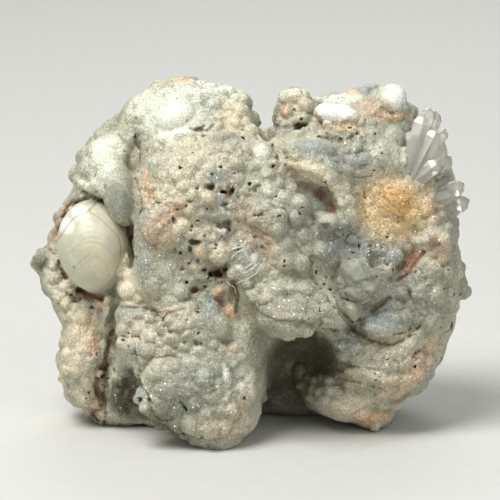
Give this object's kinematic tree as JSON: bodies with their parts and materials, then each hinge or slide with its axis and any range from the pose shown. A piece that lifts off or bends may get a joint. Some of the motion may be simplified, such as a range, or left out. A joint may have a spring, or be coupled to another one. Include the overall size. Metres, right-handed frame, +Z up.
{
  "type": "chalcedony specimen",
  "caption": "Natural chalcedony hand specimen: rounded lobes, a smooth ball in a socket, a drusy patch and a fan of clear quartz points.",
  "frame": {"origin": "centre of the bounding box at its base, on the surface that the stone rests on", "axes": "+Z up; +X to the right seen from the front, the side with the cave and the ball, which faces -Y"},
  "size_m": [0.0704, 0.0419, 0.0555],
  "materials": {
    "chalcedony": "waxy to sugary, pale grey green with cream, orange and rust stains",
    "quartz": "clear, glossy crystal faces"
  },
  "bodies": {
    "root": {"chalcedony_mass": "chalcedony", "quartz_fan": "quartz", "quartz_stub": "quartz"}
  },
  "joints": []
}
